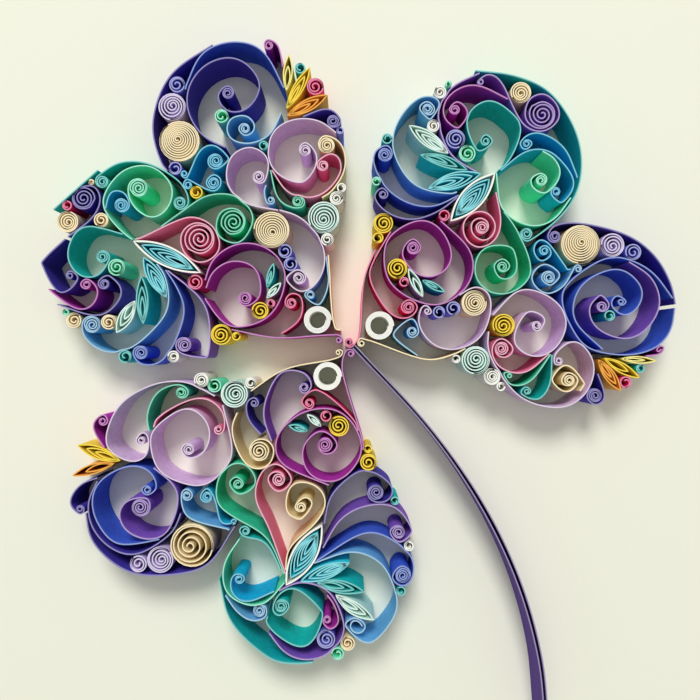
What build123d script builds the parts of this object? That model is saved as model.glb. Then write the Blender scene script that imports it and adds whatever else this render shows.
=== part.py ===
from build123d import *
import math
import os

import numpy as np

# Quilled paper clover: strips of paper stand on edge, coiled, scrolled or pinched, and glued
# side by side. Millimetres, +Z up. The paper stands on z = 0. Places are given from the heart,
# where the three leaves and the stem meet, and at the end everything is moved so that the origin
# is the middle of the whole footprint. A strip's line is the middle of its thickness, seen from
# above. Every curve is a run of short straight facets.

# Driving dimensions
STRIP_HEIGHT = 10.0
PAPER = 0.2
GLUE_GAP = 0.1

# The stem's two strips, each this far from their common middle
STEM_GAP = 0.35

# Curls at a strip's end: the eye is a share of the curl's radius
CURL_PITCH = 0.55
LOOSE_PITCH = 1.2
CURL_EYE = 0.45
CURL_TURNS = 1.0
SHORT_TURNS = 0.6
CURL_FACETS = 6

# Closed coils: eyes are shares of the coil's radius
HOLE_SHARE = 0.5
WOUND_EYE = 0.2
TIGHT_FACETS = 7
COIL_FACETS = 8
HOLE_FACETS = 5
COIL_TURNS = 2
COIL_REACH = 0.5
SPIN_STEP = 137.5

# White rings
RING_FACETS = 12
RING_HOLE_FACETS = 10

# Pinched coils: where the space inside begins, as a share of the length
PINCH_FACET = 2.9
FEWEST_FACETS = 3
PINCH_TIP = 0.12
BORDER_TIP = 0.06

# How finely lines follow their curves, and how they are moved clear of each other
FACET_SAG = 0.4
SAG_SHARE = 0.13
CURVE_STEPS = 8
SAMPLE_STEP = 0.4
SIDE_REACH = 0.9
SETTLE_ROUNDS = 60
SETTLE_DONE = 0.02
SETTLE_SLACK = 0.06
SETTLE_CALM = 0.3
NEAR_REACH = 3.0
OWN_SKIP = 2.6
MITRE_LIMIT = 0.6

CLEAR = PAPER + GLUE_GAP

pieces = {}
laid = []


def cross(a, b):
    return a[..., 0] * b[..., 1] - a[..., 1] * b[..., 0]


def lengths(vectors):
    return np.hypot(vectors[..., 0], vectors[..., 1])


def ring_points(centre, radius, count, first=0.0):
    angle = first + 2 * math.pi * np.arange(count) / count
    return np.array(centre) + radius * np.column_stack([np.cos(angle), np.sin(angle)])


def curl(centre, outer_point, after_point, pitch):
    """Corners of a curl from its eye out to outer_point, which turns on towards after_point."""
    centre = np.array(centre, float)
    outer = np.array(outer_point) - centre
    radius = lengths(outer)
    sense = 1 if cross(outer, np.array(after_point) - np.array(outer_point)) > 0 else -1
    turns = min(CURL_TURNS, max(SHORT_TURNS, (1 - CURL_EYE) * radius / pitch))
    count = math.ceil(turns * CURL_FACETS)
    last = math.atan2(outer[1], outer[0])
    eye = max(CURL_EYE * radius, radius - turns * pitch)
    part = np.arange(count) / count
    angle = last - sense * 2 * math.pi * turns * (1 - part)
    reach = eye + (radius - eye) * part
    return centre + reach[:, None] * np.column_stack([np.cos(angle), np.sin(angle)])


def smooth(points):
    """Fine points along a smooth curve through the given ones."""
    chain = np.vstack([2 * points[0] - points[1], points, 2 * points[-1] - points[-2]])
    fine = []
    for p0, p1, p2, p3 in zip(chain, chain[1:], chain[2:], chain[3:]):
        knots = np.cumsum([0] + [lengths(b - a) ** 0.5 for a, b in ((p0, p1), (p1, p2), (p2, p3))])
        slope_in = (p2 - p0) / (knots[2] - knots[0]) * (knots[2] - knots[1])
        slope_out = (p3 - p1) / (knots[3] - knots[1]) * (knots[2] - knots[1])
        for t in np.arange(CURVE_STEPS) / CURVE_STEPS:
            start = p1 + t * slope_in
            near = (3 * t ** 2 - 2 * t ** 3) * (p2 - p1) - (2 * t ** 2 - t ** 3) * slope_in
            fine.append(start + near - (t ** 2 - t ** 3) * slope_out)
    return np.vstack([fine, points[-1]])


def facet(fine):
    """The fewest of the fine points whose chords stay within the sag."""
    kept = [0]
    end = len(fine) - 1
    while kept[-1] < end:
        i = kept[-1]
        j = i + 1
        while j < end and nearly_straight(fine[i:j + 2]):
            j += 1
        kept.append(j)
    return fine[kept]


def nearly_straight(run):
    chord = run[-1] - run[0]
    length = max(lengths(chord), 1e-6)
    bulge = np.abs(cross(chord, run - run[0])).max() / length
    return bulge < min(FACET_SAG, SAG_SHARE * length)


def samples_along(line):
    """Weights that turn a line's corners into evenly spaced samples of it."""
    rows = []
    for i, step in enumerate(lengths(np.diff(line, axis=0))):
        count = max(2, math.ceil(step / SAMPLE_STEP))
        for t in np.arange(count) / count:
            row = np.zeros(len(line))
            row[i] = 1 - t
            row[i + 1] = t
            rows.append(row)
    last = np.zeros(len(line))
    last[-1] = 1
    return np.array(rows + [last])


def nearest(samples, line):
    """From the nearest place on a line to each sample: the way, the distance and the side."""
    start = line[:-1]
    span = np.diff(line, axis=0)
    offset = samples[:, None] - start
    part = np.clip((offset * span).sum(2) / (span ** 2).sum(1), 0, 1)
    away = offset - part[..., None] * span
    gap = lengths(away)
    closest = gap.argmin(1)
    rows = np.arange(len(samples))
    away = away[rows, closest]
    return away, np.maximum(gap[rows, closest], 1e-6), np.sign(cross(span[closest], away))


def push_off(samples, line):
    """How each sample moves to clear a line, on the side where its stretch mostly lies."""
    away, gap, side = nearest(samples, line)
    way = away / gap[:, None]
    lack = CLEAR - gap
    close = gap < SIDE_REACH
    edges = np.flatnonzero(np.diff(np.concatenate([[0], close, [0]]).astype(int)))
    for first, stop in zip(edges[::2], edges[1::2]):
        run = slice(first, stop)
        lean = (side[run] * gap[run]).sum()
        wrong = side[run] * lean < 0
        lack[run] = np.where(wrong, CLEAR + gap[run], lack[run])
        way[run] = np.where(wrong[:, None], -way[run], way[run])
    lack = np.clip(lack, 0, None)
    return way * lack[:, None], lack


def own_push(samples, weights, line):
    """How samples move to clear the other turns of their own line."""
    move = np.zeros_like(samples)
    home = weights.argmax(1)
    for i in range(len(line) - 1):
        far = np.abs(home - i - 0.5) > OWN_SKIP
        if far.any():
            away, gap, _ = nearest(samples[far], line[i:i + 2])
            lack = np.clip(CLEAR - gap, 0, None)
            move[far] += away / gap[:, None] * lack[:, None] / 2
    return move


def laid_near(low, high):
    """The laid lines that come near the box from low to high."""
    low = low - NEAR_REACH
    high = high + NEAR_REACH
    return [other for other in laid if (other.max(0) > low).all() and (other.min(0) < high).all()]


def settle(line):
    """Move a line's corners until it clears what is laid, then keep its longest clear run."""
    weights = samples_along(line)
    near = laid_near(line.min(axis=0), line.max(axis=0))
    for _ in range(SETTLE_ROUNDS):
        samples = weights @ line
        move = own_push(samples, weights, line)
        worst = np.zeros(len(samples))
        for other in near:
            push, lack = push_off(samples, other)
            move += push
            worst = np.maximum(worst, lack)
        moved = lengths(move)
        if moved.max() < SETTLE_DONE:
            break
        share = weights.T @ (moved > 0) + SETTLE_CALM
        line = line + weights.T @ move / share[:, None]
    return clear_run(line, weights, worst < SETTLE_SLACK)


def clear_run(line, weights, clear):
    """The longest stretch of a line whose samples are all clear."""
    edges = np.flatnonzero(np.diff(np.concatenate([[0], clear, [0]]).astype(int)))
    samples = weights @ line
    runs = sorted(zip(edges[1::2] - edges[::2], edges[::2], edges[1::2] - 1))
    _, first, last = runs[-1]
    home = weights @ np.arange(len(line))
    inside = np.arange(math.floor(home[first]) + 1, math.ceil(home[last]))
    kept = np.vstack([samples[first], line[inside], samples[last]])
    wide = np.concatenate([[True], lengths(np.diff(kept, axis=0)) > PAPER])
    return kept[wide]


def strip_face(line):
    """The footprint of a strip of paper along a line, with mitred corners."""
    along = np.diff(line, axis=0)
    along = along / lengths(along)[:, None]
    normal = np.column_stack([-along[:, 1], along[:, 0]])
    before = np.vstack([normal[:1], normal])
    after = np.vstack([normal, normal[-1:]])
    share = 1 + (before * after).sum(1)
    mitre = (before + after) / np.maximum(share, MITRE_LIMIT)[:, None] * PAPER / 2
    return polygon(np.vstack([line + mitre, (line - mitre)[::-1]]))


def polygon(points):
    return make_face(Polyline(*[tuple(point) for point in points], close=True))


def place(node, face, outline):
    pieces.setdefault(node, []).append(extrude(face, STRIP_HEIGHT))
    laid.append(outline)


def scroll(node, points, start=None, end=None, loose=False):
    """A strip along points, with a curl round the eye given for its start or end."""
    pitch = LOOSE_PITCH if loose else CURL_PITCH
    line = facet(smooth(np.array(points, float)))
    if start is not None:
        line = np.vstack([curl(start, points[0], points[1], pitch), line])
    if end is not None:
        line = np.vstack([line, curl(end, points[-1], points[-2], pitch)[::-1]])
    line = settle(line)
    place(node, strip_face(line), line)


def seat(centre, room):
    """Move and size a coil's rim so that it clears and then meets its nearest neighbours."""
    near = laid_near(centre - room, centre + room)
    for _ in range(SETTLE_ROUNDS):
        found = [nearest(centre[None], other) for other in near]
        gap = np.array([item[1][0] for item in found])
        away = np.array([item[0][0] for item in found])
        worst = gap.argmin()
        lack = room + CLEAR - gap[worst]
        if lack < SETTLE_DONE:
            break
        centre = centre + away[worst] / gap[worst] * lack / 2
    free = min(nearest(centre[None], other)[1][0] for other in near) - CLEAR
    return centre, free if free < room + COIL_REACH else room


def tight(centre, room, first):
    """A roll with no eye."""
    return polygon(ring_points(centre, room + PAPER / 2, TIGHT_FACETS, first))


def eyed(centre, room, first):
    """Close turns round an eye."""
    rim = polygon(ring_points(centre, room + PAPER / 2, COIL_FACETS, first))
    return rim - polygon(ring_points(centre, room * HOLE_SHARE, HOLE_FACETS, first))


def wound(centre, room, first):
    """Open turns, the last of them a full ring glued down on the turn beneath."""
    turn = np.arange(COIL_FACETS * COIL_TURNS + 1) / COIL_FACETS
    eye = WOUND_EYE * room
    spread = (room - CLEAR - eye) / (COIL_TURNS - 1)
    reach = np.where(turn > COIL_TURNS - 1, room, eye + spread * turn)
    angle = first + 2 * math.pi * turn
    return strip_face(centre + reach[:, None] * np.column_stack([np.cos(angle), np.sin(angle)]))


def coils(node, *places):
    """Closed coils, each of a form and at a place and radius, seated between their neighbours."""
    for number, (form, x, y, radius) in enumerate(places):
        first = math.radians(SPIN_STEP * number)
        centre, room = seat(np.array([x, y], float), radius - PAPER / 2)
        rim = ring_points(centre, room, COIL_FACETS, first)
        place(node, form(centre, room, first), np.vstack([rim, rim[:1]]))


def white_ring(x, y, outer, inner):
    """A ring of many turns wound face to face, as one solid."""
    rim = ring_points((x, y), outer - PAPER / 2, RING_FACETS)
    hole = ring_points((x, y), inner + PAPER / 2, RING_HOLE_FACETS)
    disc = polygon(ring_points((x, y), outer, RING_FACETS))
    eye = polygon(ring_points((x, y), inner, RING_HOLE_FACETS))
    place("white_rings", disc - eye, np.vstack([rim, rim[:1]]))
    laid.append(np.vstack([hole, hole[:1]]))


def eye_side(tip_a, tip_b, height, first=0.0, inset=0.0):
    """Corners along one bowed side of a pinched coil, from tip to tip."""
    along = tip_b - tip_a
    off = np.array([-along[1], along[0]]) / lengths(along)
    count = max(FEWEST_FACETS, round(lengths(along) / PINCH_FACET))
    t = np.linspace(first, 1 - first, count + 1)[:, None]
    return tip_a + t * along + (4 * t * (1 - t) * height - math.copysign(inset, height)) * off


def eye_ring(tip_a, tip_b, left, right, tip):
    """A pinched turn of paper: its outline, less the space inside it."""
    outline = np.vstack([eye_side(tip_a, tip_b, left)[:-1], eye_side(tip_a, tip_b, right)[:0:-1]])
    inner_left = eye_side(tip_a, tip_b, left, tip, PAPER)
    inner_right = eye_side(tip_a, tip_b, right, tip, PAPER)
    return polygon(outline) - polygon(np.vstack([inner_left, inner_right[::-1]]))


def marquise(node, tip_a, tip_b, left, right, border=False):
    """A coil pinched at both tips, its sides bowed left and right of the line between them."""
    tip_a = np.array(tip_a, float)
    tip_b = np.array(tip_b, float)
    rim = np.vstack([eye_side(tip_a, tip_b, left), eye_side(tip_a, tip_b, right)[-2::-1]])
    middle = (tip_a + tip_b) / 2
    laid.append(middle + (rim - middle) * (1 - 2 * PAPER / lengths(tip_b - tip_a)))
    if border:
        shell = eye_ring(tip_a, tip_b, left, right, BORDER_TIP)
        pieces.setdefault("white_borders", []).append(extrude(shell, STRIP_HEIGHT))
        inset = 2 * BORDER_TIP * (tip_b - tip_a)
        tip_a = tip_a + inset
        tip_b = tip_b - inset
        left = left - 2 * PAPER
        right = right + 2 * PAPER
    body = eye_ring(tip_a, tip_b, left, right, PINCH_TIP)
    pieces.setdefault(node, []).append(extrude(body, STRIP_HEIGHT))


def left_leaf():
    marquise("pale_yellow_marquises", (-12.2, 59.2), (-12.75, 51.9), 1.0, -0.95)
    marquise("yellow_marquises", (-8.0, 56.6), (-12.7, 48.3), 1.1, -1.1)
    marquise("orange_marquises", (-4.5, 51.1), (-12.6, 46.9), 1.3, -1.2)
    marquise("turquoise_marquises", (-43.4, 21.8), (-29.9, 15.5), 2.1, -1.9, border=True)
    marquise("turquoise_marquises", (-41.4, 18.6), (-36.7, 10.5), 1.5, -1.5)
    marquise("teal_marquises", (-41.75, 14.8), (-41.4, 5.2), 1.25, -1.25)
    marquise("pale_marquises", (-43.0, 9.9), (-46.8, 3.4), 1.4, -1.4)
    marquise("teal_marquises", (-15.3, 17.4), (-16.6, 12.5), 0.7, -0.7)
    marquise("pale_marquises", (-13.8, 13.5), (-16.7, 10.4), 0.75, -0.75)
    white_ring(-6.5, 6.0, 2.92, 1.62)

    def strip(colour, points, start=None, end=None, loose=False):
        scroll(f"left_leaf_{colour}_scrolls", points, start, end, loose)

    # Upper lobe
    strip("navy", [(-27.5, 61.1), (-32.4, 58.2), (-36.9, 53.7), (-39.5, 46), (-38.6, 39.2),
                   (-36.6, 35.9)])
    strip("navy", [(-25.1, 52.8), (-26.6, 50.6), (-24.4, 47.7), (-20.2, 48.5), (-18, 52.9),
                   (-20.4, 57.1), (-24.6, 58.6), (-29.2, 56.9), (-32.3, 52.6), (-32.4, 47.7),
                   (-29.7, 43.1), (-25, 40.6)], start=(-24.5, 51.5))
    strip("cobalt", [(-18, 46.3), (-14.8, 47.8), (-13.2, 51.5), (-13.8, 55), (-15.8, 59), (-19, 61),
                     (-22.7, 61.8), (-27, 61), (-30.6, 58.5), (-33, 52.2)], start=(-18.7, 48))
    strip("light_blue", [(-22.3, 44.1), (-21.2, 42.9), (-19.5, 43.5), (-19.1, 45.2), (-20.4, 46.8),
                         (-22.6, 47), (-24.4, 45.8), (-24.6, 43.3), (-23, 41.7), (-20, 41.3),
                         (-16.2, 42.9), (-13.8, 47.5)], start=(-21.1, 44.3))
    strip("magenta", [(-16.2, 62.2), (-14.8, 61.6), (-13.9, 60), (-13.4, 56.7)], start=(-16.2, 61.05))
    strip("navy", [(-1.8, 46.2), (-3.8, 48.3), (-6.4, 48.1), (-9.4, 46.7)], start=(-3.3, 45.9))
    strip("mauve", [(-8.6, 41.5), (-6.4, 38.3), (-8.4, 34.2), (-10.7, 33.5), (-14.5, 35.2), (-16.3, 38),
                    (-16.3, 41.3), (-15.2, 44), (-11.7, 46.1), (-6.7, 46.1), (-2.8, 43.5)],
          start=(-8.9, 40.1))
    strip("cream", [(-4.9, 43), (-1.9, 41.5), (-0.8, 37.5), (-1.4, 35.2), (-2.9, 32.5), (-5.6, 30.5)],
          start=(-4.6, 41.1))
    strip("pink", [(-6, 38.2), (-4.3, 39.4), (-2.4, 38.7), (-1.7, 37), (-2.2, 34.7), (-5.8, 31),
                   (-9.4, 30.8), (-12.4, 31.5), (-15.6, 36)], start=(-5.4, 37))
    strip("green", [(-9.4, 28.7), (-11.3, 28.4), (-13.5, 30), (-15, 32.6), (-16.3, 38.5)],
          start=(-10.4, 29.7))
    strip("mauve", [(-16.8, 34.2), (-16.4, 38.4), (-20, 40.7), (-24, 38.5), (-24.5, 32.9),
                    (-20.4, 29.1), (-14.4, 28)], start=(-18.2, 34.7))
    strip("light_blue", [(-15.4, 29.3), (-16.7, 29.4), (-17.3, 31), (-16.8, 33)], start=(-15.9, 30))

    # Side lobe
    strip("cerulean", [(-28.3, 36.9), (-26.85, 36.1), (-25.05, 36.9), (-24.4, 38.7), (-27.2, 41.1),
                       (-30.4, 39.6), (-32.4, 34.7)], start=(-26.9, 37.8), end=(-33.1, 35.3))
    strip("cerulean", [(-28.8, 33.8), (-27.6, 35.2), (-26, 34.5), (-25.9, 32.9), (-27.5, 31.8),
                       (-29.7, 32.6), (-31.7, 34.2), (-32.95, 34)], start=(-27.4, 33.5),
          end=(-32.4, 33.1))
    strip("teal", [(-49.9, 35.3), (-48.6, 36.5), (-45, 37.8), (-40.6, 37.4), (-37.1, 36), (-33.7, 33.7),
                   (-32.1, 30.8), (-32.8, 28.6)], start=(-49.6, 33.8), end=(-34, 29.5))
    strip("mint", [(-44.5, 32), (-44.15, 29.9), (-42.7, 28.1), (-40.6, 26.6), (-38.8, 26.6),
                   (-36.8, 27.9), (-35.4, 32), (-37.9, 36), (-42, 37.05), (-46.5, 35.1), (-49.45, 30.2),
                   (-48.1, 26.1), (-43.6, 22.1)], start=(-42.4, 32.4))
    strip("cerulean", [(-44.2, 29.9), (-44.9, 31.3), (-46.5, 32), (-48.1, 31.3), (-49, 28.4)],
          start=(-45.7, 29.1))
    strip("teal", [(-50.5, 36), (-54, 33.3), (-57.8, 30), (-59.4, 28.1)])
    strip("navy", [(-49.9, 30.2), (-50.4, 28.1), (-51.5, 26.5), (-53, 25), (-56.5, 22.7)],
          start=(-53.2, 30.5), loose=True)
    strip("navy", [(-55.3, 15.6), (-54.3, 14.4), (-54.9, 12.95), (-57.1, 11.55), (-59.3, 12.2),
                   (-61.6, 16.9), (-61, 18.6), (-57, 22.2)], start=(-56, 14.9))
    strip("teal", [(-48.3, 17.7), (-49.7, 15.3), (-51.3, 14.6), (-53.1, 14.5), (-54.9, 15.5),
                   (-56.6, 18.9), (-54.9, 23.6), (-51.3, 25), (-47.2, 24.3), (-43.8, 21.6),
                   (-41.9, 15.5), (-43.6, 10.1), (-47.4, 7.5)], start=(-49.5, 18.6))
    strip("magenta", [(-53.9, 13.1), (-52.9, 14.2), (-51.9, 14), (-50.35, 11.9), (-51.15, 9.3),
                      (-53.5, 8.05), (-56.35, 8.8), (-60.3, 12.2)], start=(-52.8, 13.2))
    strip("navy", [(-50.4, 13.6), (-49.6, 14.6), (-47.9, 14.8), (-45.7, 12.4), (-45.7, 10.8),
                   (-48.8, 7.3), (-52.2, 7.1), (-58.5, 9.2)], start=(-49.2, 13.3))

    # Fans towards the heart
    strip("light_blue", [(-53.7, 5.2), (-53.3, 2.7), (-50.6, 0.3), (-47.2, -0.5), (-42.35, 1.3),
                         (-36.95, 7), (-36.25, 10.4), (-36.75, 14.2), (-38.7, 17.25)],
          start=(-51.7, 5.05))
    strip("cobalt", [(-43.5, -0.8), (-41.8, -2.95), (-37.3, -2.05), (-34.2, 3.6), (-33.15, 7.2),
                     (-33.6, 10.6), (-36.9, 16)], start=(-41.9, -0.6))
    strip("violet", [(-34.95, 1.1), (-34.05, -0.7), (-30.6, -1.6), (-28.1, -0.7), (-28.15, 5.05),
                     (-28.65, 8.1), (-30.8, 11.3), (-36.5, 15.9)], start=(-33.25, 1))
    strip("pink", [(-33.3, 19.5), (-31.9, 18.05), (-30.1, 17.5), (-28.1, 17.9), (-26, 20.6),
                   (-27.6, 25.05), (-32.6, 26.7), (-38.9, 23.4), (-43, 22.2)], start=(-30.3, 22.1),
          loose=True)
    strip("green", [(-26.85, 24.5), (-26.3, 22.7), (-23.6, 21.3), (-21.5, 21.8), (-19.3, 25.8),
                    (-19.85, 28.1), (-23.4, 31.15), (-30.4, 30.4), (-37.6, 24.3)], start=(-23.6, 25.5),
          loose=True)
    strip("magenta", [(-29, 14), (-28.5, 16.5), (-26.4, 19.4), (-21.9, 21.5), (-17.1, 20.8),
                      (-13.85, 17.8), (-12.9, 14.7), (-13.7, 10.6), (-16.4, 6.6), (-20.7, 4.7),
                      (-24.6, 5), (-28, 8.25), (-29, 10.4)])
    strip("magenta", [(-20.1, 8.9), (-18.5, 9.9), (-17.7, 12.2), (-18.9, 16.3), (-22.8, 17.95),
                      (-26.95, 16.3), (-28.8, 12.4)], start=(-20.9, 10.3))
    strip("mauve", [(-9, 15.3), (-10.1, 16.15), (-11.3, 16), (-12.3, 15.1), (-12.6, 13.6),
                    (-10.25, 11.6), (-8.5, 12), (-6.7, 13.3), (-5, 17.2), (-5.9, 22.1), (-9.7, 26.4),
                    (-14.2, 28)], start=(-10.2, 14.5))
    strip("light_blue", [(-9.1, 10.8), (-7.4, 8.97), (-5.8, 9.3), (-4.4, 12.2), (-4.4, 14.5),
                         (-4.9, 18.6)], start=(-8, 10.95))
    strip("crimson", [(-12.9, 10.2), (-12.1, 11.3), (-11, 11.4), (-9.7, 10.7), (-9.3, 9.15),
                      (-9.7, 6.8), (-10.6, 5.2), (-13.8, 3.3)], start=(-11.8, 9.5))
    strip("magenta", [(-23.7, 4.1), (-21.9, 3.4), (-15.6, 2.5), (-8.5, 2.5), (-4, 3.4), (-1.9, 2.8)],
          end=(-2.3, 2.05))
    strip("cream", [(-4.6, 19), (-4.2, 10), (-3.6, 5), (-1.9, 4)])

    coils("blue_coils", (eyed, -34.6, 53.6, 1.7), (tight, -2.1, 44, 0.75), (eyed, -11.9, 17.2, 1.3),
          (eyed, -13, 19.8, 1.4), (tight, -35, 36.4, 0.85))
    coils("lavender_coils", (wound, -35.8, 48.7, 2.8))
    coils("cream_coils", (wound, -34.2, 41.5, 4.15), (wound, -15.75, 24.1, 3.55),
          (eyed, -56.3, 25.4, 2.2), (tight, -49.8, 26, 1.15), (tight, -51.6, 34.4, 1),
          (eyed, -55.3, 5.95, 1.55), (eyed, -48.3, 5.6, 1.5))
    coils("mint_coils", (eyed, -25.6, 46.9, 1.4), (wound, -5.3, 26.6, 3.0),
          (eyed, -46.75, 16.55, 1.6), (tight, -56.9, 7.45, 0.7))
    coils("teal_coils", (tight, -10, 56.4, 1.05), (tight, -17.3, 40.95, 0.85),
          (tight, -45.05, -1.3, 1.1))
    coils("crimson_coils", (eyed, -7.1, 52.8, 1.75), (tight, -15.6, 9.2, 0.85),
          (eyed, -31, 13.6, 1.5), (tight, -57.35, 29.4, 1))
    coils("white_coils", (eyed, -2.7, 30.4, 1.4), (tight, -1.7, 32.5, 0.8), (eyed, -4.6, 22.2, 1.3),
          (tight, -35.4, -1.3, 0.87))
    coils("yellow_coils", (eyed, -17.7, 7.7, 1.75), (eyed, -25.8, 3.1, 2.0),
          (tight, -22.85, 2.8, 0.9), (eyed, -30.8, 31.6, 1.3))


def right_leaf():
    marquise("turquoise_marquises", (20.15, 25.8), (29, 35.4), 2.25, -2.25, border=True)
    marquise("turquoise_marquises", (15.6, 32.3), (26.2, 35.3), 1.75, -1.55)
    marquise("teal_marquises", (14, 39.1), (23.55, 36.05), 1.4, -0.95)
    marquise("pale_marquises", (11.8, 45), (19.7, 39.35), 1.5, -1.5)
    marquise("pale_marquises", (11.65, 16.35), (14.6, 10.6), 0.95, -0.95)
    marquise("teal_marquises", (14.5, 14.0), (19, 11.6), 0.7, -0.7)
    marquise("pale_yellow_marquises", (54.3, -1.75), (61.3, -2.2), 0.75, -0.75)
    marquise("yellow_marquises", (50.85, -1.6), (58, -5.6), 1.05, -1.05)
    marquise("orange_marquises", (49.7, -1.9), (54.25, -8.2), 1.15, -1.15)
    white_ring(5.9, 4.85, 3.0, 1.75)

    def strip(colour, points, start=None, end=None, loose=False):
        scroll(f"right_leaf_{colour}_scrolls", points, start, end, loose)

    # Upper lobe
    strip("teal", [(25.1, 55.9), (29.4, 55.7), (34.75, 54.25), (40.15, 51.4), (45.2, 43.85),
                   (46.35, 36.65), (44.8, 30.15), (39.95, 24.55), (36.35, 22.05)], end=(35.4, 23.2))
    strip("violet", [(25.45, 53.7), (27.35, 55.3), (29.85, 54.25), (32.35, 50.1), (32.95, 47.6),
                     (34.75, 45.1), (37.65, 43.7), (40.15, 44.4), (42.05, 46.55), (42.05, 49.05),
                     (40.15, 51.05), (37.65, 51.3), (35.5, 49.6)], start=(26.25, 53.75),
          end=(38.25, 47.25), loose=True)
    strip("magenta", [(19.8, 48.3), (21.6, 49.9), (23.55, 48.15), (23.5, 46.35), (21.5, 44.45),
                      (19.25, 45.65), (18.55, 48.35), (19.8, 51), (22.5, 52.65), (25.55, 53.05),
                      (31.8, 50.3)], start=(21.15, 48.25), loose=True)
    strip("violet", [(25.9, 55.4), (23.75, 54.55), (21.05, 52.8), (18.35, 48.9), (17.95, 44.75),
                     (20.15, 39), (25.2, 35.5)])
    strip("teal", [(26.15, 42.05), (26.6, 42.85), (27.5, 43.05), (28.7, 41.7), (26.8, 39.9),
                   (25, 40.45), (23.3, 44.75), (23.9, 47.6), (26.45, 49.7), (29.4, 49.75), (33.7, 46),
                   (34.25, 43.5), (32.45, 38.8), (29.9, 36.1)], start=(27.15, 41.85))
    strip("cerulean", [(36.4, 41.2), (34.95, 40), (34, 41.15), (34.25, 42.25), (36.4, 43.4), (38, 43.5),
                       (43.2, 40.25), (45.5, 34.5)], start=(35.4, 41.25))
    strip("cerulean", [(30.1, 36.1), (32.45, 38.65), (35.15, 40.05), (38.2, 40.25), (41.05, 39.2),
                       (44.75, 34.5), (44.9, 33.1), (43.2, 29.85), (41.9, 29.6), (40.35, 31)],
          end=(41.25, 31.65))
    strip("mint", [(38, 35.4), (36.55, 34.85), (36.1, 33.8), (36.55, 32.45), (38.5, 31.25),
                   (39.95, 31.55), (42.2, 35.05), (41.2, 38), (38.55, 39.8)], start=(38.2, 34.05))
    strip("mint", [(29.3, 35.5), (29.9, 29.4), (32.05, 26.55), (35.45, 24.95), (37.25, 24.75),
                   (40.85, 25.8), (44.6, 30.3)])

    # Hearts
    strip("pink", [(29.2, 31.55), (30.15, 28.15), (29.9, 23.3), (27.9, 21.05), (25.4, 20.45),
                   (23.25, 22.05), (22.45, 24.75), (24, 27.45), (26.85, 27.8), (29, 25.8), (28.8, 23.1),
                   (26.65, 21.85), (24.5, 23.1), (24.4, 25.65)], end=(26.2, 24.6), loose=True)
    strip("green", [(32.05, 17), (30.6, 18.4), (28.65, 16.85), (29.7, 14.5), (31, 14.05), (33.5, 15.6),
                    (32.75, 20.1), (29.9, 21.15), (26.65, 20.25), (25.05, 17.4), (25.4, 13.95),
                    (28.1, 11.55), (31.7, 11.3), (34.9, 13.1), (36.35, 16.1), (34.75, 22.05),
                    (30.9, 27.8)], start=(30.5, 16.9), loose=True)
    strip("mauve", [(16.3, 7.6), (15.5, 8.9), (14.2, 8.4), (13.55, 6.1), (14, 4.5), (16.15, 1.45),
                    (19.75, 0), (23.85, 0.9), (26.9, 3.6), (28.4, 9.5), (27.4, 11.65), (25, 12.8),
                    (21.9, 11)], start=(15.5, 7.85))
    strip("cerulean", [(38, 20.4), (38.9, 21.0), (40.0, 20.5), (40.3, 19), (38.9, 17.8), (37.6, 17.9),
                       (36.6, 20.25), (38, 22), (39.25, 21.95), (42.3, 17.75), (43.35, 16.05),
                       (44.1, 16.2)], start=(38.9, 19.9))
    strip("light_blue", [(45.2, 17), (44.5, 16.2), (43.8, 13.8), (40.3, 11.2), (37.45, 12.2),
                         (36.35, 15.05), (39.05, 17.4), (42, 15.2), (41.4, 13.6), (39.95, 13),
                         (38.3, 14.2)], start=(45.6, 16.2), end=(39.75, 14.5))

    # Side lobe
    strip("navy", [(39.5, 22.9), (40.2, 24.4), (41.5, 25.2), (44.4, 25.5), (51.2, 24.5), (58.35, 21.35),
                   (63.4, 15.45), (65.1, 9.15)], start=(40.9, 22.75))
    strip("cobalt", [(65, 8.4), (64.5, 4.45), (61.25, 0.5), (55.5, -1), (48.3, 0.1), (45.25, 2.95),
                     (42.4, 9.4), (43.7, 13.45), (49.4, 17.6), (53, 18.65), (57.3, 17.6), (60.5, 15.6),
                     (64.65, 10.4)])
    strip("violet", [(56, 17.9), (60, 15.1), (62.05, 10.4), (61.4, 7), (58.9, 3.75), (55.15, 2.15),
                     (49.9, 3.95), (47.95, 6.8), (48.2, 9.5), (50.3, 10.95), (51.9, 9.35)],
          end=(50.4, 8.9), loose=True)
    strip("cobalt", [(55.2, 9.9), (53.5, 11.05), (52.15, 9.5), (52.55, 8.25), (54.75, 6.85),
                     (57.3, 8.1), (58.6, 10.95), (57.65, 13.8), (53.35, 16.3), (47.95, 14.35),
                     (45.45, 11.65), (44.65, 8.45), (45.45, 4.85), (50.5, -0.2)], start=(54.3, 9.7))
    strip("magenta", [(62.15, 0.9), (62.8, 0.5), (61.95, -0.85), (59.3, -1.2)], start=(61.95, 0.1))
    strip("navy", [(47.4, -9.6), (49, -11.1), (51, -9.9), (51, -8.1), (50.3, -5.8), (49.6, -4.8)],
          start=(49, -9.2))
    strip("mauve", [(37.9, 3.85), (39.2, 5.9), (37.9, 7.35), (35.05, 7.45), (32.7, 2.4), (34.3, -0.3),
                    (37.2, -1.4), (39.85, -0.65), (42.2, 1.7), (43.35, 5.1), (42.55, 8.15),
                    (40.25, 10.5), (36.8, 11.9), (33.25, 11.75), (28.6, 7)], start=(37.45, 4.9))
    strip("mauve", [(40.8, -2.45), (40.85, -1.2), (42.55, 1.0), (45.25, 1.7), (47.7, 0), (48.9, -3),
                    (48.9, -4.6), (47.6, -8.2), (44.7, -10.7), (40.75, -11.6), (34.15, -9.5),
                    (29.35, -3.8), (27.7, -0.3), (27.75, 3.7)], start=(41.75, -2.15))
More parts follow.
